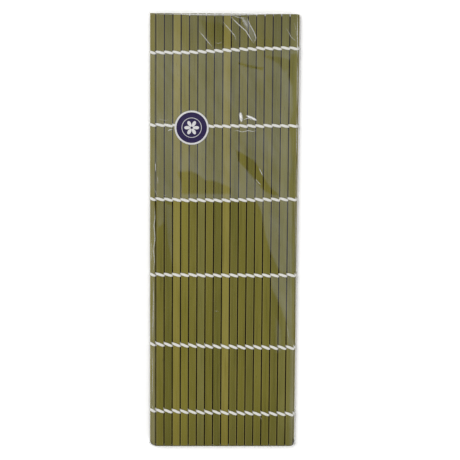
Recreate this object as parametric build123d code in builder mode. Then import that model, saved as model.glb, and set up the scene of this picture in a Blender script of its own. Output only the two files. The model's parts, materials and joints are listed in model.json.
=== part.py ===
from build123d import *
from math import copysign, radians, tan
import os

os.makedirs("parts", exist_ok=True)

# A bamboo rolling mat, folded in three like a letter Z and slipped into a clear film sleeve.
# X runs across the slats, Y along them, Z up. The sleeve's underside lies on Z = 0.

# Slats: split bamboo strips. The one that starts the top layer is narrower.
slat_length = 270.0
slat_width = 4.3
narrow_slat_width = 3.0
slat_thickness = 1.6
slat_edge_chamfer = 0.35

# Twine: two flattened cotton strands in each row, which pass over and under the slats by turns
twine_width = 1.5
twine_thickness = 0.6
twine_clearance = 0.1
strand_gap = 0.1
twine_corner_cut = 0.55
knot_radius = 0.4
knot_sides = 8
row_place_share = (0.415, 0.246, 0.076, -0.097, -0.263, -0.419)

# Layers, counted as the mat runs: bottom from left to right, middle back to the left, top to the right
bottom_slats = 15
middle_slats = 18
top_slats = 18

# Left fold, in degrees: how far the top layer's first slat leans down to it
left_edge_lean = 14.0

# Film sleeve: a flat bag, shut at its lower end and open at its upper end
film_thickness = 0.12
film_clearance = 0.2
film_end_room = 1.2
film_corner_radius = 0.8

# Round paper label on the film
label_diameter = 21.0
label_thickness = 0.12
label_centre_x = -20.1
label_centre_y = 65.6

# Worked out from the sizes above
slat_gap = twine_thickness + 2 * twine_clearance
strand_height = slat_thickness / 2 + twine_clearance + twine_thickness / 2
wrap_height = strand_height + twine_thickness / 2
strand_offset = (twine_width + strand_gap) / 2
knot_place = slat_width / 2 + twine_clearance + knot_radius
slat_count = bottom_slats + middle_slats + top_slats
right_fold = bottom_slats - 1
left_fold = bottom_slats + middle_slats - 1
slat_widths = [slat_width] * slat_count
slat_widths[left_fold + 1] = narrow_slat_width
half_steps = [(width + slat_gap) / 2 for width in slat_widths]


def hinge_bend(hinge):
    """Degrees that the mat turns at a hinge, positive when it turns up and back to the left."""
    bends = {
        right_fold: 180,
        left_fold: left_edge_lean - 180,
        left_fold + 1: -left_edge_lean,
    }
    return bends.get(hinge, 0)


def hinge_height(hinge):
    """How far a hinge's axis lies from the slats' middle plane: a bent one lies in the inner strand."""
    bend = hinge_bend(hinge)
    return copysign(strand_height, bend) if bend else 0


def lean_plane(place, lean):
    """A plane across the slats: its x runs along the mat's route and its y stands out of the slat."""
    return Plane(place, x_dir=Vector(1, 0, 0).rotate(Axis.Y, -lean), z_dir=(0, -1, 0))


def walk(start):
    """The plane of every slat's section and the place of every hinge, from the first slat on."""
    slats = [lean_plane(start, 0)]
    hinges = []
    lean = 0
    for hinge in range(slat_count - 1):
        height = hinge_height(hinge)
        hinge_place = slats[-1].from_local_coords((half_steps[hinge], height, 0))
        lean += hinge_bend(hinge)
        turned = lean_plane(hinge_place, lean)
        slats.append(lean_plane(turned.from_local_coords((half_steps[hinge + 1], -height, 0)), lean))
        hinges.append(hinge_place)
    return slats, hinges


# The mat is laid out once from zero, to find its reach to each side, and then in its place
loose_slats, loose_hinges = walk(Vector(0, 0, 0))
left_edge = loose_slats[left_fold + 1]
left_corner = (-half_steps[left_fold + 1] - twine_thickness / 2, wrap_height - twine_corner_cut, 0)
left_reach = left_edge.from_local_coords(left_corner).X
knot_reach = loose_slats[-1].from_local_coords((knot_place, 0, 0)).X + knot_radius
right_reach = max(knot_reach, loose_hinges[right_fold].X + twine_thickness / 2)
mat_middle = (left_reach + right_reach) / 2
mat_height = film_thickness + film_clearance + wrap_height
slat_planes, hinge_places = walk(Vector(-mat_middle, 0, mat_height))
top_height = slat_planes[left_fold + 2].origin.Z


# Slats
for number, (section_plane, width) in enumerate(zip(slat_planes, slat_widths), start=1):
    slat_name = f"slat_{number:02d}"
    with BuildPart() as slat:
        with BuildSketch(section_plane) as slat_section:
            Rectangle(width, slat_thickness)
            chamfer(slat_section.vertices(), slat_edge_chamfer)
        extrude(amount=slat_length / 2, both=True)
    slat.part.label = slat_name
    export_step(slat.part, f"parts/{slat_name}.step")


# Twine rows
def cut_corners(points):
    """The same route with each corner cut off, so that the strand turns in two even steps."""
    route = [points[0]]
    for before, corner, after in zip(points[:-2], points[1:-1], points[2:]):
        route.append(corner + (before - corner).normalized() * twine_corner_cut)
        route.append(corner + (after - corner).normalized() * twine_corner_cut)
    return route + [points[-1]]


def strand_points(first_side):
    """Corners of one strand's route: across each slat on one face, then through the gap to the other."""
    side = first_side
    points = [slat_planes[0].from_local_coords((-knot_place, 0, 0))]
    points.append(slat_planes[0].from_local_coords((-knot_place, side * strand_height, 0)))
    for hinge in range(slat_count - 1):
        gap_start = (half_steps[hinge], side * strand_height, 0)
        points.append(slat_planes[hinge].from_local_coords(gap_start))
        side = -side
        gap_end = (-half_steps[hinge + 1], side * strand_height, 0)
        points.append(slat_planes[hinge + 1].from_local_coords(gap_end))
    points.append(slat_planes[-1].from_local_coords((knot_place, side * strand_height, 0)))
    points.append(slat_planes[-1].from_local_coords((knot_place, 0, 0)))
    return points


def ribbon(route):
    """Outline of a strand seen from its side: its route, half a thickness out to each side."""
    outer = []
    inner = []
    for place, corner in enumerate(route):
        before = route[max(place - 1, 0)]
        after = route[min(place + 1, len(route) - 1)]
        arriving = (corner - before).normalized() if place > 0 else (after - corner).normalized()
        leaving = (after - corner).normalized() if place < len(route) - 1 else arriving
        middle = (arriving + leaving).normalized()
        out = Vector(-middle.Z, 0, middle.X) * (twine_thickness / 2 / middle.dot(leaving))
        outer.append(corner + out)
        inner.append(corner - out)
    return outer + inner[::-1]


strand_outlines = {side: ribbon(cut_corners(strand_points(side))) for side in (1, -1)}

for number, share in enumerate(row_place_share, start=1):
    row_name = f"twine_row_{number}"
    row_y = share * slat_length
    with BuildPart() as twine_row:
        for side, outline in strand_outlines.items():
            strand_plane = Plane.XZ.offset(-row_y - side * strand_offset)
            with BuildSketch(strand_plane):
                with BuildLine():
                    Polyline([(point.X, point.Z) for point in outline], close=True)
                make_face()
            extrude(amount=twine_width / 2, both=True)
        for end_plane, end_place in ((slat_planes[0], -knot_place), (slat_planes[-1], knot_place)):
            knot_centre = end_plane.from_local_coords((end_place, 0, -row_y))
            with BuildSketch(Plane(knot_centre, x_dir=end_plane.x_dir, z_dir=(0, -1, 0))):
                RegularPolygon(knot_radius, knot_sides)
            extrude(amount=strand_offset + twine_width / 2, both=True)
    twine_row.part.label = row_name
    export_step(twine_row.part, f"parts/{row_name}.step")


# Film sleeve
strand_reach = max(abs(point.X) for outline in strand_outlines.values() for point in outline)
film_half_width = strand_reach + film_clearance + film_thickness
film_half_length = slat_length / 2 + film_end_room
film_wrap = wrap_height + film_clearance + film_thickness
film_top = top_height + film_wrap
film_reach = strand_height + film_wrap
left_bend_x = hinge_places[left_fold + 1].X - film_reach * tan(radians(left_edge_lean / 2))
left_wall_top = film_top - (left_bend_x + film_half_width) * tan(radians(left_edge_lean))

with BuildPart() as sleeve_back:
    with BuildSketch(Plane.XY):
        Rectangle(2 * film_half_width, 2 * film_half_length)
    extrude(amount=film_thickness)
sleeve_back.part.label = "sleeve_back"
export_step(sleeve_back.part, "parts/sleeve_back.step")

with BuildPart() as sleeve_front:
    with BuildSketch(Plane.XZ.offset(-film_half_length)) as front_outline:
        with BuildLine():
            Polyline(
                (-film_half_width, film_thickness),
                (-film_half_width, left_wall_top),
                (left_bend_x, film_top),
                (film_half_width, film_top),
                (film_half_width, film_thickness),
                close=True,
            )
        make_face()
        fillet(front_outline.vertices().group_by(Axis.Z)[1:], film_corner_radius)
    extrude(amount=2 * film_half_length)
    mouth = sleeve_front.faces().sort_by(Axis.Y)[-1]
    underside = sleeve_front.faces().sort_by(Axis.Z)[0]
    offset(amount=-film_thickness, openings=[mouth, underside])
sleeve_front.part.label = "sleeve_front"
export_step(sleeve_front.part, "parts/sleeve_front.step")


# Label
with BuildPart() as label:
    with BuildSketch(Plane((label_centre_x, label_centre_y, film_top))):
        Circle(label_diameter / 2)
    extrude(amount=label_thickness)
label.part.label = "label"
export_step(label.part, "parts/label.step")
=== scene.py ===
import json
import math

import bmesh
import bpy
import numpy as np
from mathutils import Matrix, Vector, noise
from mathutils.bvhtree import BVHTree


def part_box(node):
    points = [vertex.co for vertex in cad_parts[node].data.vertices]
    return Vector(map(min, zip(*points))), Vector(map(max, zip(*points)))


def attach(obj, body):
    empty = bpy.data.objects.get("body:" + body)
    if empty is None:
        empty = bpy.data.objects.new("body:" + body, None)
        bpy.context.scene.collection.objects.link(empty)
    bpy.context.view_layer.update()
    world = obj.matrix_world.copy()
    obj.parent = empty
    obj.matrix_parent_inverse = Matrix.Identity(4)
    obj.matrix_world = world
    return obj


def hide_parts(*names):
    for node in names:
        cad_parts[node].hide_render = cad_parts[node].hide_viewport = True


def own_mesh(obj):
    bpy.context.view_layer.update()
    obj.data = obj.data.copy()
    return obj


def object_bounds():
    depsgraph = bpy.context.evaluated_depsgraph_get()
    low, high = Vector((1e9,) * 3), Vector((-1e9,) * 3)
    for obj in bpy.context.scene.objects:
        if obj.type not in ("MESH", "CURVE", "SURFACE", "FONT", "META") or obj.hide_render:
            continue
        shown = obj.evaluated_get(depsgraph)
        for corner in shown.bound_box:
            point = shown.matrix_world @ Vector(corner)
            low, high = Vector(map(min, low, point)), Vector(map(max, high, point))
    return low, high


# A bamboo rolling mat, folded in three and packed in a tight clear film sleeve, seen from straight above.
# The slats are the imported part's own. The twine, the film and the label are made finer here.

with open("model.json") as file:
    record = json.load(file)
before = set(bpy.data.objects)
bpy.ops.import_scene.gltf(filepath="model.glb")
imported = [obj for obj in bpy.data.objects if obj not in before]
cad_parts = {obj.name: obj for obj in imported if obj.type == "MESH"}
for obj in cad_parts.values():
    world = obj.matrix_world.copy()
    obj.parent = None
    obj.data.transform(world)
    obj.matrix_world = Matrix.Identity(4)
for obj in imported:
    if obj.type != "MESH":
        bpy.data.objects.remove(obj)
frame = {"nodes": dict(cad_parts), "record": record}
cad_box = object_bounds()

MM = 0.001

# Mat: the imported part's own sizes, read from its boxes
MIDDLE_SLAT = "slat_42"
slat_low, slat_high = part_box(MIDDLE_SLAT)
SLAT_WIDTH = slat_high.x - slat_low.x
SLAT_LENGTH = slat_high.y - slat_low.y
TOP_FACE = slat_high.z
TOP_LAYER_START = 34
SLAT_COUNT = 51
# A slat under this share of the usual width counts as narrow
NARROW_SHARE = 0.9
ROWS = [f"twine_row_{n}" for n in range(1, 7)]
# The slats that lie at the mat's two long edges, layer over layer
EDGE_SLATS = ("slat_01", "slat_15", "slat_16", "slat_33", "slat_34", "slat_51")
EDGE_SLAT_STEPS = 6
SLAT_END_REACH = 1.0 * MM
SAME_PLACE = 0.01 * MM

# Bamboo grain: each pattern's stretch across and along the slat, its scale, its detail and its roughness
GRAIN_PATTERNS = {
    "fine": (1.0, 0.012, 3800.0, 3.0, 0.6),
    "broad": (1.0, 0.03, 900.0, 2.0, 0.5),
    "patches": (1.6, 0.35, 60.0, 2.0, 0.5),
    "flecks": (1.0, 0.15, 1500.0, 1.0, 0.5),
}
FIBRE_STRENGTH = 0.55
BROAD_SHADE = 0.55
PATCH_STRENGTH = 0.5
FLECK_STRENGTH = 0.6
# The slats' ends are a little darker, from one distance from their middle to the other
END_SHADE = 0.3
END_SHADE_PLACES = (105 * MM, 135 * MM)
# Colours as they show on a screen: the chamfers along a slat, its sides and its back. The sides and back are
# browner bamboo painted nearly black, as painted shade in the gaps between the slats
CHAMFER_COLOUR = (156, 146, 80)
SIDE_BROWN_AND_SHADE = (30, 10, 2)
BACK_BROWN_AND_SHADE = (32, 14, 4)

# Twine: each strand passes over a slat on a slant, then down through the gap and under the next one
STRAND_WIDTH = 1.75 * MM
STRAND_THICKNESS = 0.68 * MM
STRAND_SLANT = 0.62 * MM
STRAND_LEG_WIDTH = 1.15 * MM
STRAND_HEIGHT = 1.2 * MM
STRAND_SIDES = 8
HALF_GAP = 0.4 * MM
STITCH_UNEVENNESS = 0.12 * MM
STITCH_SEED = 7
KNOT_SIZE = (0.42 * MM, 1.2 * MM, 0.6 * MM)
# Cotton: a darker colour in the twist's grooves as painted shade, and a lighter one on its ridges
COTTON_SHADED_AND_LIT = ((228, 226, 216), (252, 251, 247))
# The twisted yarn's slanted bands: how much x and y count, and how fine they are
TWIST_SLANT = (0.8, 2.4)
TWIST_SCALE = 330.0
FUZZ_SCALE = 4200.0
# How far each row rises or sinks at five places across the mat, in millimetres
DRIFT_PLACE_SHARES = (-1.0, -0.5, 0.0, 0.5, 1.0)
ROW_DRIFT = (
    (-1.0, -0.75, 0.65, 2.1, 2.4), (0.8, 0.1, 0.2, 0.5, 0.6), (0.9, 0.3, 0.3, 0.9, 1.2),
    (0.4, 0.3, 0.0, 0.2, 0.3), (1.4, 0.55, -0.35, -0.7, -0.8), (1.0, 0.05, -0.45, -1.2, -1.4))
# How far each row's stitches are turned from the usual slant, in degrees
ROW_TURN = (4.0, 4.0, 1.0, 0.0, -6.0, -6.0)

# Film sleeve: how far it reaches past the mat's edge, how it lies over the slats and the twine, and how fine
# its mesh is
FILM_MARGIN = 1.0 * MM
FILM_OVER_SLATS = 0.16 * MM
FILM_OVER_TWINE = 0.72 * MM
FILM_ROW_SPREAD = 5.0 * MM
FILM_CRUMPLE = 0.12 * MM
CRUMPLE_SCALE = (60.0, 26.0)
CRUMPLE_SHIFT = 3.1
MOUTH_UNEVENNESS = 0.6 * MM
MOUTH_SCALE = 200.0
MOUTH_SHIFT = 7.7
# The film's section at its two long edges, as places across and up in millimetres: on the left from the
# solid film's side and slat_34's foot, then from that slat's inner edge and the film's top, on the right
# from the film's side and its top
FILM_INSETS = (0.25 * MM, 0.1 * MM)
LEFT_WALL = ((0.0, -0.2), (0.5, 1.2))
LEFT_TURN = ((-0.3, -0.1), (1.5, 0.0))
RIGHT_TURN = ((-1.9, 0.0), (-0.7, -0.45), (-0.15, -1.5))
FILM_COLUMNS = 170
FILM_LINES = 300
BACK_LINES = 40
# The painted reflection on the film is cloudy, with slanted streaks: their direction, and how drawn out and
# how fine they are
CLOUD_SCALE = 55.0
STREAK_DIRECTION = (0.87, 0.5)
STREAK_STRETCH = 0.2
STREAK_SCALE = 150.0
RIPPLE_SCALE = 130.0
# The film's painted reflection: its colour and strength
FILM_REFLECTION_COLOUR = (0.86, 0.91, 0.98, 1.0)
FILM_REFLECTION_ALPHA = 0.072
FILM_CLEAR_ALPHA = 0.002
FILM_EDGE_ALPHA = 0.6
FILM_EDGE_COLOUR = (0.4, 0.41, 0.38, 1.0)
# The colour of the painted highlights on creases and glints
CREASE_HIGHLIGHT_COLOUR = (0.92, 0.92, 0.9, 1.0)
# The gathered film at the shut end: its painted reflection of the bamboo in two colours, and how opaque it is
HEM_REFLECTION_COLOURS = ((82, 76, 42), (108, 103, 70))
HEM_ALPHA = 0.8
# The shut end's two corners are rounded: how far along the end and how far up the side, left and right
CORNER_SIZES = ((5.0 * MM, 3.4 * MM), (3.2 * MM, 3.4 * MM))
HEM_GAP = 0.1 * MM
HEM_WIDTH = 0.35 * MM
HEM_HEIGHT = 3.6 * MM
CREASE_STEP = 0.8 * MM
CREASE_CLEARANCE = 0.03 * MM
CREASE_FADE_SHARE = 0.25
CREASE_END_WIDTH = 0.4
CREASE_END_SHINE = 0.3
RAY_START = 50 * MM
# Across a crease: place, height and brightness, the first two as shares of its width
CREASE_SECTION = ((-0.5, 0.0, 0.0), (-0.2, 0.15, 0.8), (0.0, 0.25, 1.0), (0.2, 0.15, 0.8), (0.5, 0.0, 0.0))

# Painted reflection on the film, as shapes in the photograph's pixels, laid over each other from the first to
# the
# last: how strong the painted reflection is inside, how soft its edge is, and its outline
REFLECTION_SHAPES = (
    (0.45, 8.0, ((140, 0), (310, 0), (310, 50), (140, 54))),
    (1.0, 4.0, ((140, 52), (310, 48), (310, 200), (140, 200))),
    (0.0, 1.5, ((236, 150), (240, 152), (247, 156), (255, 161), (263, 176), (270, 187), (279, 195),
                (272, 195), (263, 190), (254, 179), (245, 168), (238, 161))),
    (0.15, 2.0, ((177, 172), (190, 171), (198, 174), (205, 180), (215, 181), (223, 184), (231, 188),
                 (231, 194), (182, 194), (181, 182))),
    (0.3, 1.5, ((262, 55), (279, 57), (291, 60), (290, 68), (284, 72), (279, 64))),
    (0.1, 2.0, ((291, 54), (299, 54), (299, 205), (290, 205), (289, 185), (292, 165), (291, 140), (289, 128),
                (293, 112), (292, 86), (288, 76))),
    (0.0, 1.0, ((238, 62), (248, 65), (264, 68), (262, 70), (247, 67), (238, 64))),
    (0.1, 3.0, ((200, 20), (222, 24), (232, 36), (234, 47), (214, 47), (206, 34))),
    (1.0, 2.0, ((256, 200), (299, 200), (299, 273), (281, 273), (277, 266), (270, 250), (265, 232),
                (262, 214))),
    (0.9, 2.0, ((271, 276), (299, 276), (299, 345), (288, 345), (286, 321), (278, 300), (272, 289))),
    (0.55, 2.5, ((276, 318), (281, 330), (281, 352), (276, 352))),
    (0.6, 2.0, ((165, 203), (172, 206), (172, 262), (168, 240))),
    (0.7, 2.0, ((157, 202), (164, 202), (164, 222), (158, 228))),
    (0.15, 1.2, ((292, 200), (295, 200), (295, 340), (292, 340))),
    (1.0, 1.5, ((148, 196), (154, 196), (155, 300), (155, 446), (148, 446))),
    (0.8, 1.5, ((290.5, 345), (297, 345), (296, 447), (289.5, 447))),
    (2.2, 2.0, ((243, 19), (248, 20), (251, 27), (254, 34), (255, 41), (253, 41), (249, 33), (244, 25))),
)

# Painted highlights along the film's creases, and its glints: width in millimetres, brightness, and the line
# they follow in the photograph's pixels
CREASE_HIGHLIGHTS = (
    (0.75, 0.55, ((199, 31), (205, 38), (212, 47))),
    (0.7, 0.5, ((223, 22), (230, 30), (235, 36), (236, 41))),
    (0.8, 0.75, ((230, 16), (238, 24), (246, 31), (252, 41), (254, 43))),
    (0.9, 0.55, ((247, 18), (250, 25), (254, 32), (256, 38), (254, 43))),
    (0.6, 0.6, ((233, 16), (241, 18), (247, 18))),
    (2.4, 0.35, ((242, 18), (248, 27))),
    (0.4, 0.5, ((286, 28), (289, 33), (291, 37), (297, 42))),
    (0.35, 0.3, ((294, 21), (296, 30), (297, 40))),
    (2.4, 1.3, ((240.3, 112), (241.5, 122))),
    (0.6, 0.7, ((243, 120), (248, 118), (252, 120))),
    (1.8, 1.3, ((246, 115.5), (251, 117.5), (257, 120.5))),
    (0.45, 0.8, ((233, 131), (238, 130.5), (242, 132), (248, 130.5), (253, 131.5), (257, 130))),
    (0.9, 1.0, ((168, 130.7), (170, 129.7), (172.5, 129.2))),
    (0.5, 0.5, ((208, 126), (208.5, 132))),
    (0.5, 0.9, ((259, 168), (260.5, 171), (262.7, 175.5))),
    (0.5, 0.8, ((255.5, 179), (258, 182), (261, 185))),
    (0.5, 0.8, ((155.4, 162), (155.7, 172))),
    (0.35, 0.5, ((157.5, 176), (158, 184))),
    (0.4, 0.4, ((154, 188), (157, 195), (160, 195))),
    (0.4, 0.4, ((163, 195.5), (167, 195))),
    (0.8, 0.6, ((154.5, 206), (155, 216), (154, 226), (155, 238), (153.5, 250), (154.5, 262), (153, 272))),
    (0.4, 0.5, ((151, 240), (152, 250), (151, 262))),
    (0.8, 0.45, ((153, 278), (153.5, 300), (153, 322), (152.5, 340))),
    (0.7, 0.4, ((152, 350), (152.5, 375), (152, 400))),
    (0.4, 0.5, ((151.5, 404), (153, 409), (156, 411))),
    (0.4, 0.35, ((215, 43), (219, 43.5), (222, 42))),
    (0.35, 0.35, ((157, 119), (166, 120.5), (170, 119))),
    (0.3, 0.4, ((287, 325), (288, 332), (289, 340))),
    (0.5, 0.4, ((260, 416), (262, 420))),
    (0.4, 0.4, ((214, 311), (218.5, 311))),
)
# The sleeve's open end: a painted highlight along its ragged edge, and a short painted highlight in most gaps
MOUTH_EDGE = ((150.5, 14.2), (153, 13.7), (165, 14.0), (182, 14.1), (199, 14.6), (214, 14.7), (230, 14.8),
              (241, 14.7), (257, 14.2), (274, 13.8), (290, 13.6), (297.5, 14.0))
MOUTH_EDGE_WIDTH = 1.0
MOUTH_EDGE_SHINE = 0.8
FIRST_TICK_SLAT = TOP_LAYER_START + 4
TICK_LENGTH = 3.0
TICK_WIDTH = 0.7
TICK_SHINES = (0.4, 0.65, 0.9)
# The sleeve's right edge, as a painted highlight line that fades downwards from the first shine to the second
SIDE_EDGE_WIDTH = 0.45
SIDE_EDGE_SHINES = (0.8, 0.2)
SIDE_EDGE = ((297.6, 14), (297.4, 60), (297, 110), (296.4, 160), (296, 205), (295.5, 260), (295, 330))

# Label
LABEL_THICKNESS = 0.08 * MM
LABEL_GAP = 0.02 * MM
LABEL_SIDES = 96
LABEL_RINGS = 14
LABEL_COLOURS = ((38, 28, 68), (48, 38, 80))
PAPER_COLOURS = ((214, 213, 212), (232, 231, 230))
# The print, in shares of the label's radius: the paper rim, a thin ring and a flower
RIM_START = 0.89
THIN_RING = (0.55, 0.59)
PRINT_EDGE = 0.01
PETAL_COUNT = 6
PETAL_REACH = 0.44
PETAL_SHARPNESS = 0.6
PETAL_START = 0.07

# Camera, fitted to the slats' gaps and ends in the photograph
CAMERA_PLACE = (-17.686 * MM, 95.308 * MM, 800 * MM)
CAMERA_TURN = (math.radians(-6.7046), math.radians(-1.5146), math.radians(0.4141))
CAMERA_FOCUS_PIXELS = 1284.65
PHOTO_PIXELS = 460
SENSOR_WIDTH = 36.0

# Light
FLOOR_SIZE = 12.0
FLOOR_COLOUR = (0.85, 0.85, 0.85, 1.0)
FLOOR_COLOUR_SEEN = (1.4, 1.4, 1.4, 1.0)
# Away from the lights the floor is seen still brighter, so that it stays white as far as it reaches
FLOOR_COLOUR_FAR = (2.8, 2.8, 2.8, 1.0)
FLOOR_FAR_FROM = 0.35
FLOOR_FAR_TO = 2.0
SKY_STRENGTH = 0.42
# Round lamps: name, place, diameter and power
LAMPS = (("soft light", (-0.5, 0.5, 1.6), 1.2, 14.0), ("fill light", (0.8, -0.6, 1.4), 1.0, 4.0))


def linear(red, green, blue):
    """A colour as it shows on a screen, 0 to 255, turned into the renderer's linear values."""
    def channel(value):
        value = value / 255
        return value / 12.92 if value <= 0.04045 else ((value + 0.055) / 1.055) ** 2.4
    return (channel(red), channel(green), channel(blue), 1.0)


# Which body carries each node, as the record says
body_of = {}
for body_name, members in frame["record"]["behaviour"]["bodies"].items():
    for member in members:
        body_of[member] = body_name
LAYERS = [body_of["slat_01"], body_of["slat_25"], body_of["slat_42"]]
SLEEVE = body_of["sleeve_front"]


def add_object(name, data):
    made = bpy.data.objects.new(name, data)
    bpy.context.scene.collection.objects.link(made)
    return made


# Nodes
def socket_of(sockets, key):
    """A socket by its identifier, which tells sockets of one name apart, or else by its name or place."""
    found = {s.identifier: s for s in sockets}
    return found[key] if key in found else sockets[key]


class Wiring:
    """Short calls for the nodes of a tree."""

    def __init__(self, tree):
        self.nodes = tree.nodes
        self.links = tree.links

    def fill(self, node, values):
        """Gives each named input its value, or the output of another node."""
        for key, value in values.items():
            if isinstance(value, bpy.types.NodeSocket):
                self.links.new(value, socket_of(node.inputs, key))
            elif value is not None:
                socket_of(node.inputs, key).default_value = value
        return node

    def add(self, kind, values, **settings):
        node = self.nodes.new(kind)
        for name, setting in settings.items():
            setattr(node, name, setting)
        return self.fill(node, values)

    def math(self, operation, first, second=None, clamp=False):
        node = self.add("ShaderNodeMath", {0: first, 1: second}, operation=operation, use_clamp=clamp)
        return node.outputs[0]

    def noise(self, place, scale, detail=2.0, roughness=0.5):
        values = {"Vector": place, "Scale": scale, "Detail": detail, "Roughness": roughness}
        return self.add("ShaderNodeTexNoise", values).outputs["Fac"]

    def ramp(self, value, low, high, start=0.0, end=1.0, kind="SMOOTHSTEP"):
        values = {"Value": value, "From Min": low, "From Max": high, "To Min": start, "To Max": end}
        return self.add("ShaderNodeMapRange", values, interpolation_type=kind).outputs["Result"]

    def mix(self, share, first, second):
        values = {"Factor_Float": share, "A_Color": first, "B_Color": second}
        return socket_of(self.add("ShaderNodeMix", values, data_type="RGBA").outputs, "Result_Color")

    def split(self, vector):
        return self.add("ShaderNodeSeparateXYZ", {0: vector}).outputs

    def join(self, x, y, z):
        return self.add("ShaderNodeCombineXYZ", {0: x, 1: y, 2: z}).outputs[0]

    def coordinates(self, kind):
        return self.nodes.new("ShaderNodeTexCoord").outputs[kind]

    def attribute(self, name):
        return self.add("ShaderNodeAttribute", {}, attribute_name=name).outputs["Fac"]

    def bump(self, height, strength, distance):
        values = {"Height": height, "Strength": strength, "Distance": distance}
        return self.add("ShaderNodeBump", values).outputs["Normal"]


def new_material(name):
    """A material, the wiring of its nodes, and its shader."""
    material = bpy.data.materials.new(name)
    material.use_nodes = True
    w = Wiring(material.node_tree)
    w.nodes.clear()
    shader = w.nodes.new("ShaderNodeBsdfPrincipled")
    w.add("ShaderNodeOutputMaterial", {"Surface": shader.outputs["BSDF"]})
    return material, w, shader


# Bamboo grain: lengthwise fibres, blotches and small dark flecks on split bamboo, with painted shade on the
# slats' sides and backs
def make_bamboo_grain():
    group = bpy.data.node_groups.new("bamboo grain", "ShaderNodeTree")
    for name in ("Main Colour", "Fibre Colour", "Shade Colour"):
        group.interface.new_socket(name, in_out="INPUT", socket_type="NodeSocketColor")
    for name in ("Fibre Strength", "Skin Side", "Shift"):
        group.interface.new_socket(name, in_out="INPUT", socket_type="NodeSocketFloat")
    for name, kind in (("Colour", "Color"), ("Roughness", "Float"), ("Height", "Float")):
        group.interface.new_socket(name, in_out="OUTPUT", socket_type=f"NodeSocket{kind}")
    w = Wiring(group)
    given = w.nodes.new("NodeGroupInput").outputs
    x, y, z = w.split(w.coordinates("Object"))
    moved_y = w.math("ADD", y, given["Shift"])
    fine, broad, patches, flecks = [
        w.noise(w.join(w.math("MULTIPLY", x, across), w.math("MULTIPLY", moved_y, along), z), *grain)
        for across, along, *grain in GRAIN_PATTERNS.values()]
    fibre = w.math("MULTIPLY", w.ramp(fine, 0.42, 0.72), given["Fibre Strength"])
    shade = w.math("MULTIPLY", w.ramp(broad, 0.5, 0.75), BROAD_SHADE)
    colour = w.mix(fibre, given["Main Colour"], given["Fibre Colour"])
    colour = w.mix(shade, colour, given["Shade Colour"])
    colour = w.mix(w.ramp(patches, 0.35, 0.75, 0.0, PATCH_STRENGTH), colour, given["Fibre Colour"])
    colour = w.mix(w.ramp(flecks, 0.72, 0.78, 0.0, FLECK_STRENGTH), colour, given["Shade Colour"])
    end_shade = w.ramp(w.math("ABSOLUTE", y), *END_SHADE_PLACES, 0.0, END_SHADE)
    colour = w.mix(end_shade, colour, given["Shade Colour"])
    facing = w.split(w.coordinates("Normal"))
    sideways = w.math("ABSOLUTE", facing[0])
    inward = w.math("MULTIPLY", facing[2], w.math("MULTIPLY", given["Skin Side"], -1.0))
    long_edge = w.math("MULTIPLY", w.ramp(sideways, 0.3, 0.6), w.ramp(patches, 0.3, 0.6, 0.35, 0.85))
    colour = w.mix(long_edge, colour, linear(*CHAMFER_COLOUR))
    # Sides and backs: browner bamboo, painted nearly black as painted shade in the gaps between the slats
    colour = w.mix(w.ramp(sideways, 0.85, 0.95), colour, linear(*SIDE_BROWN_AND_SHADE))
    colour = w.mix(w.ramp(inward, 0.5, 0.9), colour, linear(*BACK_BROWN_AND_SHADE))
    w.add("NodeGroupOutput", {
        "Colour": colour, "Roughness": w.ramp(fine, 0.3, 0.7, 0.42, 0.6),
        "Height": w.math("ADD", fine, w.math("MULTIPLY", broad, 0.6))})
    return group


BAMBOO_GRAIN = make_bamboo_grain()


def make_bamboo(name, main, fibre, shade, shift, skin_side):
    material, w, shader = new_material(name)
    grain = w.add("ShaderNodeGroup", {}, node_tree=BAMBOO_GRAIN)
    w.fill(grain, {
        "Main Colour": linear(*main), "Fibre Colour": linear(*fibre), "Shade Colour": linear(*shade),
        "Fibre Strength": FIBRE_STRENGTH, "Shift": shift, "Skin Side": skin_side})
    w.fill(shader, {
        "Base Color": grain.outputs["Colour"], "Roughness": grain.outputs["Roughness"],
        "Normal": w.bump(grain.outputs["Height"], 0.35, 0.06 * MM), "Specular IOR Level": 0.2})
    return material


# Five tones of bamboo, from olive green to straw yellow: main, fibre and shade colours, and the grain's shift
BAMBOO_TONES = (
    ("bamboo olive", (99, 95, 26), (120, 114, 46), (74, 70, 14), 0.0),
    ("bamboo green", (108, 102, 28), (128, 121, 48), (80, 75, 14), 0.31),
    ("bamboo grey green", (111, 107, 44), (130, 125, 66), (84, 80, 26), 0.57),
    ("bamboo light", (118, 111, 30), (138, 129, 52), (90, 83, 16), 0.83),
    ("bamboo straw", (130, 120, 42), (150, 140, 72), (104, 95, 24), 1.19),
)
# The skin side faces up in the bottom and top layers, and down in the turned-over middle one. The slats at
# the edges have it on both sides.
BAMBOO = {
    side: [make_bamboo(f"{name}, skin {word}", *tone, side) for name, *tone in BAMBOO_TONES]
    for side, word in ((1.0, "up"), (-1.0, "down"), (0.0, "all round"))}
TOP_LAYER_TONES = (3, 1, 0, 4, 3, 1, 2, 1, 0, 4, 0, 1, 0, 1, 1, 0, 2, 2)


def bamboo_of(number):
    """The bamboo of a slat, by its number from the mat's free left end on."""
    name = f"slat_{number:02d}"
    tone = (number * 3) % len(BAMBOO_TONES)
    if number >= TOP_LAYER_START:
        tone = TOP_LAYER_TONES[number - TOP_LAYER_START]
    side = -1.0 if body_of[name] == LAYERS[1] else 1.0
    if name in EDGE_SLATS:
        side = 0.0
    return BAMBOO[side][tone]


def dress_slats():
    for number in range(1, SLAT_COUNT + 1):
        slat = frame["nodes"][f"slat_{number:02d}"]
        slat.data.materials.clear()
        slat.data.materials.append(bamboo_of(number))


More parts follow.
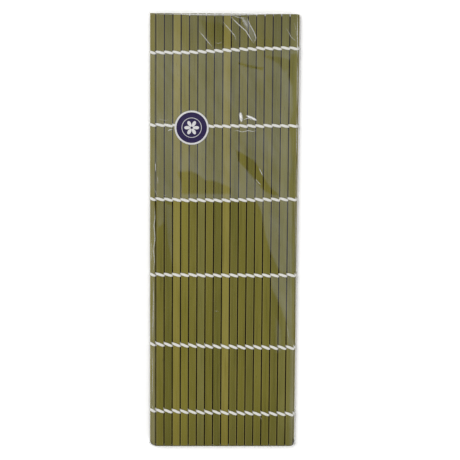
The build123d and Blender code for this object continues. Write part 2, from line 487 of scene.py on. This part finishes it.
def corner_cut(x, left, right):
    """How far the shut end stands back at a place across the mat, for a part that spans left to right."""
    cut = np.zeros_like(np.asarray(x, float))
    for inward, (reach, depth) in zip((x - left, right - x), CORNER_SIZES):
        share = np.clip(1 - inward / reach, 0, 1)
        cut = np.maximum(cut, depth * (1 - np.sqrt(1 - share * share)))
    return cut


def bridge(mesh, rings, closed):
    """Faces between each ring of corners and the next, all the way round or not."""
    for first, second in zip(rings[:-1], rings[1:]):
        for side in range(len(first) if closed else len(first) - 1):
            other = (side + 1) % len(first)
            mesh.faces.new((first[side], second[side], second[other], first[other]))


def make_edge_slats():
    """The outer slats again, from their own sections, with the corner at the shut end rounded off."""
    left = min(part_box(name)[0].x for name in EDGE_SLATS)
    right = max(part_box(name)[1].x for name in EDGE_SLATS)
    for name in EDGE_SLATS:
        low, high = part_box(name)
        points = np.array([v.co for v in frame["nodes"][name].data.vertices])
        points = points[points[:, 1] < low.y + SLAT_END_REACH]
        centre = points.mean(0)
        angles = np.arctan2(points[:, 2] - centre[2], points[:, 0] - centre[0])
        corners = points[np.argsort(angles)]
        corners = corners[np.linalg.norm(corners - np.roll(corners, 1, axis=0), axis=1) > SAME_PLACE]
        section = np.concatenate([
            np.linspace(first, second, EDGE_SLAT_STEPS, endpoint=False)
            for first, second in zip(corners, np.roll(corners, -1, axis=0))])
        mesh = bmesh.new()
        start = [mesh.verts.new((x, low.y + float(corner_cut(x, left, right)), z)) for x, y, z in section]
        end = [mesh.verts.new((x, high.y, z)) for x, y, z in section]
        bridge(mesh, [end, start], closed=True)
        caps = [mesh.faces.new(start), mesh.faces.new(end)]
        bmesh.ops.triangulate(mesh, faces=caps)
        piece = finish_mesh(mesh, f"{name}_rounded", bamboo_of(int(name[-2:])), smooth=False)
        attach(piece, body_of[name])
        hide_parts(name)


# Cotton twine
def make_cotton():
    material, w, shader = new_material("cotton twine")
    place = w.coordinates("Object")
    x, y, z = w.split(place)
    slanted = w.math("ADD", w.math("MULTIPLY", x, TWIST_SLANT[0]), w.math("MULTIPLY", y, TWIST_SLANT[1]))
    wave = w.add("ShaderNodeTexWave", {
        "Vector": w.join(slanted, y, z), "Scale": TWIST_SCALE, "Distortion": 1.2, "Detail": 1.0},
        wave_type="BANDS", bands_direction="X")
    fuzz = w.noise(place, FUZZ_SCALE, 3.0, 0.7)
    height = w.math("ADD", wave.outputs["Fac"], w.math("MULTIPLY", fuzz, 0.5))
    # Darker in the twist's low grooves and lighter on its ridges: painted shade on the cotton
    w.fill(shader, {
        "Base Color": w.mix(w.ramp(height, 0.3, 1.1), *[linear(*colour) for colour in COTTON_SHADED_AND_LIT]),
        "Roughness": w.ramp(fuzz, 0.2, 0.8, 0.75, 0.95), "Normal": w.bump(height, 0.6, 0.12 * MM),
        "Specular IOR Level": 0.2, "Sheen Weight": 0.25})
    return material


COTTON = make_cotton()


# Camera: where the photograph was taken from, and how its pixels and the mat's places belong together
CAMERA_MATRIX = (
    Matrix.Translation(CAMERA_PLACE) @ Matrix.Rotation(CAMERA_TURN[2], 4, "Z")
    @ Matrix.Rotation(CAMERA_TURN[1], 4, "Y") @ Matrix.Rotation(CAMERA_TURN[0], 4, "X"))


def pixels_of(places):
    """The photograph's pixels at which places of the mat show."""
    inverse = np.array(CAMERA_MATRIX.inverted())
    seen = places @ inverse[:3, :3].T + inverse[:3, 3]
    half = PHOTO_PIXELS / 2
    return np.stack([half - CAMERA_FOCUS_PIXELS * seen[:, 0] / seen[:, 2],
                     half + CAMERA_FOCUS_PIXELS * seen[:, 1] / seen[:, 2]], 1)


def place_of(pixel, height):
    """The place at a height above the floor that shows at one of the photograph's pixels."""
    half = PHOTO_PIXELS / 2
    ray = Vector(((pixel[0] - half) / CAMERA_FOCUS_PIXELS, (half - pixel[1]) / CAMERA_FOCUS_PIXELS, -1.0))
    ray = CAMERA_MATRIX.to_3x3() @ ray
    start = CAMERA_MATRIX.translation
    return start + ray * ((height - start.z) / ray.z)


# Twine: one stitch crosses a slat on its upper face, from the gap before it to the gap after it
def stitch_route(half_step, leg_before, leg_after):
    """Places and widths along one stitch, in its slat's own frame: x along the mat, z out of the slat's face.

    Each end goes down into its gap by a leg, which is full, short or missing."""
    middle = (STRAND_LEG_WIDTH + 2 * STRAND_WIDTH) / 3
    half = [(0.2, 0.3, 1.08, STRAND_WIDTH), (0.74, 0.85, 1.05, middle)]
    legs = {
        "full": [(0.98, 1.05, 0.8, STRAND_LEG_WIDTH), (1.0, 1.0, 0.0, STRAND_LEG_WIDTH)],
        "short": [(0.84, 0.95, 1.0, STRAND_LEG_WIDTH)],
        "none": [(1.0, 1.0, 1.0, STRAND_LEG_WIDTH)],
    }
    route = [(-x * half_step, y * STRAND_SLANT, z * STRAND_HEIGHT, width)
             for x, y, z, width in reversed(half + legs[leg_before])]
    return route + [(x * half_step, -y * STRAND_SLANT, z * STRAND_HEIGHT, width)
                    for x, y, z, width in half + legs[leg_after]]


def add_strand(mesh, route):
    """A flattened closed tube along a route of places and widths, put into the mesh."""
    rings = []
    for index, (x, y, z, width) in enumerate(route):
        before = Vector(route[max(index - 1, 0)][:3])
        after = Vector(route[min(index + 1, len(route) - 1)][:3])
        along = (after - before).normalized()
        across = (Vector((0, 1, 0)) - along * along.y).normalized()
        out = along.cross(across)
        ring = []
        for side in range(STRAND_SIDES):
            angle = 2 * math.pi * side / STRAND_SIDES
            corner = across * (math.cos(angle) * width / 2) + out * (math.sin(angle) * STRAND_THICKNESS / 2)
            ring.append(mesh.verts.new(Vector((x, y, z)) + corner))
        rings.append(ring)
    bridge(mesh, rings, closed=True)
    mesh.faces.new(rings[0])
    mesh.faces.new(rings[-1][::-1])


def finish_mesh(mesh, name, material, smooth=True, outward=True):
    """Turns a bmesh into an object in the scene, with its faces turned outwards unless they are already."""
    if outward:
        bmesh.ops.recalc_face_normals(mesh, faces=mesh.faces)
    data = bpy.data.meshes.new(name)
    mesh.to_mesh(data)
    mesh.free()
    data.polygons.foreach_set("use_smooth", [smooth] * len(data.polygons))
    if material:
        data.materials.append(material)
    return add_object(name, data)


def add_values(piece, name, values):
    """One number for each point of a piece's mesh, which its material reads by name."""
    piece.data.attributes.new(name, "FLOAT", "POINT").data.foreach_set("value", values)


def make_stitch_shape(name, half_step, leg_before, leg_after):
    mesh = bmesh.new()
    add_strand(mesh, stitch_route(half_step, leg_before, leg_after))
    return finish_mesh(mesh, name, None)


def make_knot_shape():
    mesh = bmesh.new()
    bmesh.ops.create_uvsphere(mesh, u_segments=10, v_segments=6, radius=1.0)
    for vertex in mesh.verts:
        vertex.co = Vector(vertex.co[axis] * KNOT_SIZE[axis] for axis in range(3))
    return finish_mesh(mesh, "knot shape", None)


# Where the stitches lie
def slat_frame(number):
    """The middle of a slat, the direction of the mat's way through it, and the slat's width."""
    name = f"slat_{number:02d}"
    points = np.array([v.co for v in frame["nodes"][name].data.vertices])
    centre = (points.min(0) + points.max(0)) / 2
    spread = points[:, [0, 2]] - centre[[0, 2]]
    along = np.linalg.eigh(spread.T @ spread)[1][:, 1]
    sense = -1.0 if body_of[name] == LAYERS[1] else 1.0
    if along[0] * sense < 0:
        along = -along
    return Vector(centre), Vector((along[0], 0.0, along[1])), np.ptp(spread @ along)


def row_place(row):
    low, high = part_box(row)
    return (low.y + high.y) / 2


ROW_PLACES = [row_place(row) for row in ROWS]


def row_drift(row_index, x):
    """A row isn't quite straight: its y shift at a place across the mat."""
    share = np.clip(x / (cad_box[1].x - FILM_MARGIN), -1.0, 1.0)
    return np.interp(share, DRIFT_PLACE_SHARES, ROW_DRIFT[row_index]) * MM


# Kinds of stitch: whether its slat is the narrow one, and the legs at its two ends. On the inside of a fold
# the strand runs straight on, and on the outside of the left fold it stops at the slat's edge.
STITCH_KINDS = {
    "stitch": (False, "full", "full"),
    "stitch after a fold": (False, "none", "full"),
    "stitch before a fold": (False, "full", "none"),
    "stitch round a fold": (False, "full", "short"),
    "narrow stitch": (True, "short", "full"),
    "narrow stitch after a fold": (True, "none", "full"),
}
KIND_NAMES = list(STITCH_KINDS) + ["knot"]


def stitch_places():
    """For each layer, where its stitches lie, how they are turned, and of which kind they are."""
    places = {layer: [] for layer in LAYERS}
    for number in range(1, SLAT_COUNT + 1):
        layer = body_of[f"slat_{number:02d}"]
        centre, run, width = slat_frame(number)
        out = Vector((-run.z, 0.0, run.x))
        narrow = width < NARROW_SHARE * SLAT_WIDTH
        starts_layer = number > 1 and body_of[f"slat_{number - 1:02d}"] != layer
        ends_layer = number < SLAT_COUNT and body_of[f"slat_{number + 1:02d}"] != layer
        for row_index, row_y in enumerate(ROW_PLACES):
            middle = Vector((centre.x, row_y + float(row_drift(row_index, centre.x)), centre.z))
            for face in (1.0, -1.0):
                # A slat's own upper face lies inside the right fold and outside the left one
                kind = "narrow stitch" if narrow else "stitch"
                if starts_layer and (face > 0) == (layer == LAYERS[1]):
                    kind += " after a fold"
                elif ends_layer and (face > 0) == (layer == LAYERS[0]):
                    kind += " before a fold"
                elif ends_layer and layer == LAYERS[1]:
                    kind += " round a fold"
                pose = Matrix(((run.x, 0.0, out.x * face), (0.0, face, 0.0), (run.z, 0.0, out.z * face)))
                turn = pose @ Matrix.Rotation(math.radians(ROW_TURN[row_index]), 3, "Z")
                places[layer].append((middle, turn.to_euler(), KIND_NAMES.index(kind)))
            for end, at_end in ((-1.0, number == 1), (1.0, number == SLAT_COUNT)):
                if at_end:
                    knot = middle + run * (end * (width / 2 + HALF_GAP))
                    places[layer].append((knot, (0.0, 0.0, 0.0), KIND_NAMES.index("knot")))
    return places


def make_stitch_tree(shapes):
    """Sets the shape of each kind on the points of that kind, a little unevenly, and gives it the cotton."""
    tree = bpy.data.node_groups.new("twine stitches", "GeometryNodeTree")
    inputs = (("Geometry", "Geometry"), ("Unevenness", "Float"), ("Seed", "Int"), ("Cotton", "Material"))
    for name, kind in inputs:
        tree.interface.new_socket(name, in_out="INPUT", socket_type=f"NodeSocket{kind}")
    tree.interface.new_socket("Geometry", in_out="OUTPUT", socket_type="NodeSocketGeometry")
    w = Wiring(tree)
    given = w.nodes.new("NodeGroupInput").outputs

    def read(name, kind):
        node = w.add("GeometryNodeInputNamedAttribute", {"Name": name}, data_type=kind)
        return [s for s in node.outputs if s.enabled and s.name == "Attribute"][0]

    rotation = w.add("FunctionNodeEulerToRotation", {0: read("turn", "FLOAT_VECTOR")}).outputs[0]
    kind_value = read("kind", "INT")
    # A small shift of each stitch along its slat
    lowest = w.math("MULTIPLY", given["Unevenness"], -1.0)
    uneven = w.add("FunctionNodeRandomValue", {
        "Min_001": lowest, "Max_001": given["Unevenness"], "Seed": given["Seed"]}, data_type="FLOAT")
    shift = w.join(0.0, socket_of(uneven.outputs, "Value_001"), 0.0)
    moved = w.add("GeometryNodeSetPosition", {"Geometry": given["Geometry"], "Offset": shift}).outputs[0]
    joined = w.nodes.new("GeometryNodeJoinGeometry")
    for number, shape in enumerate(shapes):
        chosen = w.add("FunctionNodeCompare", {"A_INT": kind_value, "B_INT": number}, data_type="INT",
                       operation="EQUAL").outputs[0]
        instance = w.add("GeometryNodeObjectInfo", {"Object": shape}).outputs["Geometry"]
        placed = w.add("GeometryNodeInstanceOnPoints", {
            "Points": moved, "Selection": chosen, "Instance": instance, "Rotation": rotation}).outputs[0]
        w.fill(joined, {0: placed})
    real = w.add("GeometryNodeRealizeInstances", {0: joined.outputs[0]}).outputs[0]
    finish = w.add("GeometryNodeSetMaterial", {"Geometry": real, "Material": given["Cotton"]})
    w.add("NodeGroupOutput", {0: finish.outputs[0]})
    return tree


def grow(points, name, tree, values):
    """Runs a tree on a mesh of points and returns the plain mesh object that it makes."""
    carrier = add_object(name + " points", points)
    modifier = carrier.modifiers.new(name, "NODES")
    modifier.node_group = tree
    for item in tree.interface.items_tree:
        if item.item_type == "SOCKET" and item.in_out == "INPUT" and item.name in values:
            modifier[item.identifier] = values[item.name]
    evaluated = carrier.evaluated_get(bpy.context.evaluated_depsgraph_get())
    data = bpy.data.meshes.new_from_object(evaluated)
    data.name = name
    bpy.data.objects.remove(carrier)
    return add_object(name, data)


def make_twine():
    narrow_half_step = slat_frame(TOP_LAYER_START)[2] / 2 + HALF_GAP
    half_step = SLAT_WIDTH / 2 + HALF_GAP
    shapes = [make_stitch_shape(kind, narrow_half_step if narrow else half_step, before, after)
              for kind, (narrow, before, after) in STITCH_KINDS.items()]
    shapes.append(make_knot_shape())
    tree = make_stitch_tree(shapes)
    for layer, stitches in stitch_places().items():
        points = bpy.data.meshes.new(f"{layer} stitch points")
        points.from_pydata([middle for middle, turn, kind in stitches], [], [])
        turns = points.attributes.new("turn", "FLOAT_VECTOR", "POINT")
        turns.data.foreach_set("vector", [angle for middle, turn, kind in stitches for angle in turn])
        kinds = points.attributes.new("kind", "INT", "POINT")
        kinds.data.foreach_set("value", [kind for middle, turn, kind in stitches])
        piece = grow(points, f"twine_{layer}", tree, {
            "Unevenness": STITCH_UNEVENNESS, "Seed": STITCH_SEED, "Cotton": COTTON})
        piece.data.polygons.foreach_set("use_smooth", [True] * len(piece.data.polygons))
        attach(piece, layer)
        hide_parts(*ROWS)
    for shape in shapes:
        bpy.data.objects.remove(shape)


# Film: a thin clear sheet whose painted reflection, and the painted highlights of its creases, come from
# their meshes' own attributes
def make_film_material():
    material, w, shader = new_material("clear film")
    place = w.coordinates("Object")
    cloud = w.noise(place, CLOUD_SCALE, 3.0, 0.55)
    x, y, z = w.split(place)
    run, rise = STREAK_DIRECTION
    across = w.math("ADD", w.math("MULTIPLY", x, run), w.math("MULTIPLY", y, rise))
    along = w.math("SUBTRACT", w.math("MULTIPLY", y, run), w.math("MULTIPLY", x, rise))
    streaks = w.noise(w.join(across, w.math("MULTIPLY", along, STREAK_STRETCH), z), STREAK_SCALE)
    # A veil laid on by an attribute, cloudy and streaked: a painted reflection on the film
    strength = w.math("MULTIPLY", w.attribute("painted_reflection"), w.ramp(cloud, 0.3, 0.7, 0.75, 1.15))
    strength = w.math("MULTIPLY", strength, w.ramp(streaks, 0.3, 0.7, 0.8, 1.2))
    layer = w.add("ShaderNodeLayerWeight", {"Blend": 0.25})
    grazing = w.math("POWER", layer.outputs["Facing"], 2.5)
    edge = w.math("MULTIPLY", grazing, FILM_EDGE_ALPHA)
    alpha = w.math("ADD", w.math("MULTIPLY", strength, FILM_REFLECTION_ALPHA), edge)
    w.fill(shader, {
        "Base Color": w.mix(w.ramp(grazing, 0.02, 0.3), FILM_REFLECTION_COLOUR, FILM_EDGE_COLOUR),
        "Alpha": w.math("ADD", alpha, FILM_CLEAR_ALPHA, clamp=True),
        "Normal": w.bump(w.noise(place, RIPPLE_SCALE, 3.0, 0.6), 0.4, 0.2 * MM),
        "Roughness": 0.16, "Specular IOR Level": 0.6})
    return material


def make_crease_material():
    material, w, shader = new_material("crease highlights")
    # White where the shine attribute is strong: painted highlights of the film's creases and glints
    broken = w.ramp(w.noise(w.coordinates("Object"), 900.0, 2.0, 0.5), 0.3, 0.55, 0.55, 1.0)
    w.fill(shader, {
        "Base Color": CREASE_HIGHLIGHT_COLOUR, "Roughness": 0.2, "Specular IOR Level": 0.8,
        "Alpha": w.math("MULTIPLY", w.attribute("shine"), broken, clamp=True)})
    return material


def make_hem_material():
    """Film folded on itself at the shut end, coloured with a painted reflection of the bamboo beside it."""
    material, w, shader = new_material("gathered film")
    folds = w.ramp(w.noise(w.coordinates("Object"), 320.0, 2.0, 0.6), 0.3, 0.7)
    colour = w.mix(folds, *[linear(*colour) for colour in HEM_REFLECTION_COLOURS])
    w.fill(shader, {"Base Color": colour, "Alpha": HEM_ALPHA, "Roughness": 0.3})
    return material


def film_outline():
    """The film's line round the mat's section, from its left foot over the top to its right foot."""
    low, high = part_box("sleeve_front")
    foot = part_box("sleeve_back")[1].z
    left_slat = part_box(f"slat_{TOP_LAYER_START:02d}")
    top = TOP_FACE + FILM_OVER_SLATS
    left = low.x + FILM_INSETS[0]
    right = high.x - FILM_INSETS[1]
    outline = [(left, foot)]
    for x, z, turns in ((left, left_slat[0].z, LEFT_WALL), (left_slat[1].x, top, LEFT_TURN),
                        (right, top, RIGHT_TURN)):
        outline += [(x + across * MM, z + up * MM) for across, up in turns]
    return outline + [(right, foot)]


def resample(points, count):
    points = np.array(points)
    steps = np.r_[0, np.cumsum(np.linalg.norm(np.diff(points, axis=0), axis=1))]
    wanted = np.linspace(0, steps[-1], count)
    return np.stack([np.interp(wanted, steps, points[:, 0]), np.interp(wanted, steps, points[:, 1])], 1)


def row_bulge(x, y):
    """How far the twine rows lift the film off the slats, from nothing to one."""
    lift = np.zeros_like(x)
    for row_index, row_y in enumerate(ROW_PLACES):
        away = (y - row_y - row_drift(row_index, x)) / FILM_ROW_SPREAD
        lift = np.maximum(lift, 1.0 / (1.0 + away * away))
    return lift


def shape_mask(pixels, outline, softness):
    """One inside an outline, nothing outside it, with a soft edge."""
    corners = np.array(outline, float)
    nearest = np.full(len(pixels), np.inf)
    inside = np.zeros(len(pixels), bool)
    for first, second in zip(corners, np.roll(corners, -1, axis=0)):
        side = second - first
        share = np.clip(((pixels - first) @ side) / (side @ side), 0, 1)
        nearest = np.minimum(nearest, np.linalg.norm(pixels - first - share[:, None] * side, axis=1))
        crosses = (first[1] > pixels[:, 1]) != (second[1] > pixels[:, 1])
        rise = second[1] - first[1] if second[1] != first[1] else 1.0
        inside ^= crosses & (pixels[:, 0] < first[0] + (pixels[:, 1] - first[1]) * side[0] / rise)
    distance = np.where(inside, nearest, -nearest)
    return np.clip(0.5 + distance / softness, 0, 1)


# Painted reflection on the film, from shapes in the photograph's pixels
def film_reflection(places):
    pixels = pixels_of(places)
    painted_reflection = np.zeros(len(places))
    for strength, softness, outline in REFLECTION_SHAPES:
        mask = shape_mask(pixels, outline, softness)
        painted_reflection = painted_reflection * (1 - mask) + strength * mask
    return painted_reflection


def finish_film(piece, node=None):
    """A piece rides on the sleeve."""
    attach(piece, SLEEVE)
    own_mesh(piece)
    if node:
        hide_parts(node)


def make_film():
    low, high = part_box("sleeve_front")
    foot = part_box("sleeve_back")[1].z
    outline = resample(film_outline(), FILM_COLUMNS)
    lines = np.linspace(low.y, high.y, FILM_LINES)
    x = np.repeat(outline[None, :, 0], FILM_LINES, 0)
    z = np.repeat(outline[None, :, 1], FILM_LINES, 0)
    y = np.repeat(lines[:, None], FILM_COLUMNS, 1)
    height = np.clip(z / TOP_FACE, 0, 1)
    crumple = np.array([
        abs(noise.noise(Vector((px * CRUMPLE_SCALE[0], py * CRUMPLE_SCALE[1], CRUMPLE_SHIFT))))
        for px, py in zip(x.flat, y.flat)])
    z = z + FILM_OVER_TWINE * row_bulge(x, y) * height ** 2 + crumple.reshape(z.shape) * FILM_CRUMPLE * height
    # The mouth ends a little unevenly, and the shut end has rounded corners
    ragged = MOUTH_UNEVENNESS * np.array([
        abs(noise.noise(Vector((px * MOUTH_SCALE, 0.0, MOUTH_SHIFT)))) for px in outline[:, 0]])
    share = (y - low.y) / (high.y - low.y)
    y = y + corner_cut(x, low.x, high.x) * (1 - share) - ragged[None, :] * share
    places = np.stack([x, y, z], 2).reshape(-1, 3)
    mesh = bmesh.new()
    corners = [mesh.verts.new(place) for place in places]
    rings = [corners[line * FILM_COLUMNS:(line + 1) * FILM_COLUMNS] for line in range(FILM_LINES)]
    bridge(mesh, rings[::-1], closed=False)
    # The shut end: each column goes straight down to the sleeve's back, where the outermost ones already are
    feet = [mesh.verts.new((place[0], place[1], foot)) for place in places[:FILM_COLUMNS]]
    for column in range(1, FILM_COLUMNS - 2):
        mesh.faces.new((corners[column + 1], corners[column], feet[column], feet[column + 1]))
    piece = finish_mesh(mesh, "film_front", FILM, outward=False)
    found = np.array([v.co for v in piece.data.vertices])
    # The painted reflection's strength at each point of the film
    add_values(piece, "painted_reflection", film_reflection(found).astype(np.float32))
    surface = BVHTree.FromObject(piece, bpy.context.evaluated_depsgraph_get())
    finish_film(piece, "sleeve_front")
    return surface


def make_film_back():
    """The sleeve's lower sheet, flat on the floor, with the same rounded corners as the upper one."""
    low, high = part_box("sleeve_back")
    height = (low.z + high.z) / 2
    mesh = bmesh.new()
    across = np.linspace(low.x, high.x, FILM_COLUMNS)
    starts = low.y + corner_cut(across, low.x, high.x)
    rings = [
        [mesh.verts.new((x, start + share * (high.y - start), height)) for x, start in zip(across, starts)]
        for share in np.linspace(0, 1, BACK_LINES)]
    bridge(mesh, rings, closed=False)
    finish_film(finish_mesh(mesh, "film_back", FILM), "sleeve_back")


def make_film_hem():
    """The shut end's folded seam, close round the ends of the top layer's slats."""
    left = min(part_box(name)[0].x for name in EDGE_SLATS)
    right = max(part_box(name)[1].x for name in EDGE_SLATS)
    base = TOP_FACE - HEM_HEIGHT
    across = np.linspace(left, right, FILM_COLUMNS)
    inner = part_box(MIDDLE_SLAT)[0].y + corner_cut(across, left, right) - HEM_GAP
    top = TOP_FACE - HEM_GAP
    mesh = bmesh.new()
    rings = [[mesh.verts.new(corner) for corner in (
        (x, y, base), (x, y, top), (x, y - HEM_WIDTH, top), (x, y - HEM_WIDTH, base))]
        for x, y in zip(across, inner)]
    bridge(mesh, rings, closed=True)
    mesh.faces.new(rings[0])
    mesh.faces.new(rings[-1][::-1])
    finish_film(finish_mesh(mesh, "film_hem", make_hem_material()))


# Creases: small folds that stand up from the film, white with painted highlights
def add_crease_highlight(mesh, shine, surface, width, brightness, line):
    """A narrow tent along a line of pixels, on the film, with a painted highlight, thin and dim towards its
    two ends.
    """
    route = [place_of(pixel, TOP_FACE) for pixel in line]
    lengths = np.r_[0, np.cumsum([(b - a).length for a, b in zip(route[:-1], route[1:])])]
    count = max(3, int(lengths[-1] / CREASE_STEP))
    wanted = np.linspace(0, lengths[-1], count)
    points = np.stack([np.interp(wanted, lengths, [p[axis] for p in route]) for axis in range(3)], 1)
    rows = []
    for index, point in enumerate(points):
        ahead = Vector(points[min(index + 1, count - 1)]) - Vector(points[max(index - 1, 0)])
        across = Vector((-ahead.y, ahead.x, 0)).normalized()
        share = index / (count - 1)
        fade = min(1.0, share / CREASE_FADE_SHARE, (1 - share) / CREASE_FADE_SHARE)
        row = []
        for offset, lift, light in CREASE_SECTION:
            narrowed = CREASE_END_WIDTH + (1 - CREASE_END_WIDTH) * fade
            corner = Vector(point) + across * (offset * width * MM * narrowed)
            hit = surface.ray_cast(Vector((corner.x, corner.y, RAY_START)), Vector((0, 0, -1)))[0]
            ground = hit.z if hit and hit.z > TOP_FACE / 2 else TOP_FACE
            corner.z = ground + CREASE_CLEARANCE + lift * width * MM * fade
            row.append(mesh.verts.new(corner))
            shine.append(light * brightness * (CREASE_END_SHINE + (1 - CREASE_END_SHINE) * fade))
        rows.append(row)
    bridge(mesh, rows[::-1], closed=False)


def make_crease_highlights(surface):
    mesh = bmesh.new()
    shine = []
    for width, brightness, line in CREASE_HIGHLIGHTS:
        add_crease_highlight(mesh, shine, surface, width, brightness, line)
    add_crease_highlight(mesh, shine, surface, MOUTH_EDGE_WIDTH, MOUTH_EDGE_SHINE, MOUTH_EDGE)
    stretches = len(SIDE_EDGE) - 1
    for stretch in range(stretches):
        brightness = float(np.interp(stretch / stretches, (0, 1), SIDE_EDGE_SHINES))
        add_crease_highlight(mesh, shine, surface, SIDE_EDGE_WIDTH, brightness, SIDE_EDGE[stretch:stretch + 2])
    for number in range(FIRST_TICK_SLAT, SLAT_COUNT):
        gap = (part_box(f"slat_{number:02d}")[1].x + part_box(f"slat_{number + 1:02d}")[0].x) / 2
        column, row = pixels_of(np.array([[gap, SLAT_LENGTH / 2, TOP_FACE]]))[0]
        add_crease_highlight(mesh, shine, surface, TICK_WIDTH, TICK_SHINES[number % 3],
                   [(column, row + share * TICK_LENGTH) for share in (1.0, 0.5, 0.0)])
    piece = finish_mesh(mesh, "film_creases", CREASE_HIGHLIGHT_FILM, outward=False)
    add_values(piece, "shine", shine)
    finish_film(piece)


FILM = make_film_material()
CREASE_HIGHLIGHT_FILM = make_crease_material()


# Label
def make_label_material():
    material, w, shader = new_material("printed label")
    place = w.coordinates("UV")
    across, along, depth = w.split(place)
    dx = w.math("MULTIPLY", w.math("SUBTRACT", across, 0.5), 2.0)
    dy = w.math("MULTIPLY", w.math("SUBTRACT", along, 0.5), 2.0)
    distance = w.math("SQRT", w.math("ADD", w.math("MULTIPLY", dx, dx), w.math("MULTIPLY", dy, dy)))
    rim = w.ramp(distance, RIM_START, RIM_START + PRINT_EDGE)
    ring = w.math("MULTIPLY", w.ramp(distance, THIN_RING[0], THIN_RING[0] + PRINT_EDGE),
                  w.ramp(distance, THIN_RING[1] - PRINT_EDGE, THIN_RING[1], 1.0, 0.0))
    angle = w.math("ARCTAN2", dy, dx)
    petals = w.math("ABSOLUTE", w.math("COSINE", w.math("MULTIPLY", angle, PETAL_COUNT / 2)))
    reach = w.math("MULTIPLY", w.math("POWER", petals, PETAL_SHARPNESS), PETAL_REACH)
    flower = w.math("MULTIPLY", w.ramp(w.math("SUBTRACT", reach, distance), 0.0, 1.5 * PRINT_EDGE),
                    w.ramp(distance, PETAL_START, PETAL_START + PRINT_EDGE))
    white = w.math("MAXIMUM", w.math("MAXIMUM", rim, ring), flower)
    grain = w.ramp(w.noise(place, 20.0, 2.0, 0.5), 0.3, 0.7)
    field, paper = [w.mix(grain, *[linear(*colour) for colour in colours])
                    for colours in (LABEL_COLOURS, PAPER_COLOURS)]
    w.fill(shader, {"Base Color": w.mix(white, field, paper), "Roughness": 0.45, "Specular IOR Level": 0.12})
    return material


def make_label(surface):
    """A round label that lies on the film and follows the row of twine under it."""
    low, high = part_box("label")
    centre = (low + high) / 2
    radius = (high.x - low.x) / 2
    mesh = bmesh.new()
    uv_layer = mesh.loops.layers.uv.new("UVMap")
    flat_places = {}

    def add_point(share, angle, lift):
        x = centre.x + radius * share * math.cos(angle)
        y = centre.y + radius * share * math.sin(angle)
        hit = surface.ray_cast(Vector((x, y, RAY_START)), Vector((0, 0, -1)))[0]
        vertex = mesh.verts.new((x, y, hit.z + lift))
        flat_places[vertex] = (0.5 + share * math.cos(angle) / 2, 0.5 + share * math.sin(angle) / 2)
        return vertex

    angles = [2 * math.pi * side / LABEL_SIDES for side in range(LABEL_SIDES)]
    shells = []
    for lift in (LABEL_GAP + LABEL_THICKNESS, LABEL_GAP):
        middle = add_point(0.0, 0.0, lift)
        rings = [[add_point((ring + 1) / LABEL_RINGS, angle, lift) for angle in angles]
                 for ring in range(LABEL_RINGS)]
        shells.append(rings)
        for side in range(LABEL_SIDES):
            mesh.faces.new((middle, rings[0][side], rings[0][(side + 1) % LABEL_SIDES]))
        bridge(mesh, rings, closed=True)
    bridge(mesh, [rings[-1] for rings in shells], closed=True)
    for face in mesh.faces:
        for loop in face.loops:
            loop[uv_layer].uv = flat_places[loop.vert]
    finish_film(finish_mesh(mesh, "round_label", make_label_material()), "label")


# Camera
def make_camera():
    data = bpy.data.cameras.new("camera")
    data.sensor_fit = "HORIZONTAL"
    data.sensor_width = SENSOR_WIDTH
    data.lens = SENSOR_WIDTH * CAMERA_FOCUS_PIXELS / PHOTO_PIXELS
    camera = add_object("camera", data)
    camera.matrix_world = CAMERA_MATRIX
    bpy.context.scene.camera = camera


# Floor and light
def make_floor():
    mesh = bpy.data.meshes.new("floor")
    half = FLOOR_SIZE / 2
    corners = [(-half, -half, 0), (half, -half, 0), (half, half, 0), (-half, half, 0)]
    mesh.from_pydata(corners, [], [(0, 1, 2, 3)])
    material, w, shader = new_material("white floor")
    seen = w.nodes.new("ShaderNodeLightPath").outputs["Is Camera Ray"]
    away = w.add("ShaderNodeVectorMath", {0: w.coordinates("Object")}, operation="LENGTH")
    far = w.ramp(away.outputs["Value"], FLOOR_FAR_FROM, FLOOR_FAR_TO)
    bright = w.mix(far, FLOOR_COLOUR_SEEN, FLOOR_COLOUR_FAR)
    matt = w.add("ShaderNodeBsdfDiffuse", {"Color": w.mix(seen, FLOOR_COLOUR, bright)})
    w.fill(shader.outputs["BSDF"].links[0].to_node, {"Surface": matt.outputs["BSDF"]})
    w.nodes.remove(shader)
    mesh.materials.append(material)
    add_object("floor", mesh)


def add_lamp(name, place, size, power):
    """A round lamp that points at the mat."""
    data = bpy.data.lights.new(name, "AREA")
    data.shape = "DISK"
    data.size = size
    data.energy = power
    lamp = add_object(name, data)
    lamp.location = place
    lamp.rotation_euler = (-Vector(place)).to_track_quat("-Z", "Y").to_euler()


def make_light():
    world = bpy.data.worlds.new("studio")
    world.use_nodes = True
    # Seen straight on the sky is white, and it lights the object at its own strength
    w = Wiring(world.node_tree)
    seen = w.nodes.new("ShaderNodeLightPath").outputs["Is Camera Ray"]
    w.fill(w.nodes["Background"], {
        "Color": (1.0, 1.0, 1.0, 1.0), "Strength": w.ramp(seen, 0.0, 1.0, SKY_STRENGTH, 1.0, "LINEAR")})
    bpy.context.scene.world = world
    for lamp in LAMPS:
        add_lamp(*lamp)


bpy.context.scene.view_settings.view_transform = "Standard"
make_camera()
make_floor()
make_light()
dress_slats()
make_edge_slats()
make_twine()
film_surface = make_film()
make_film_back()
make_film_hem()
make_crease_highlights(film_surface)
make_label(film_surface)
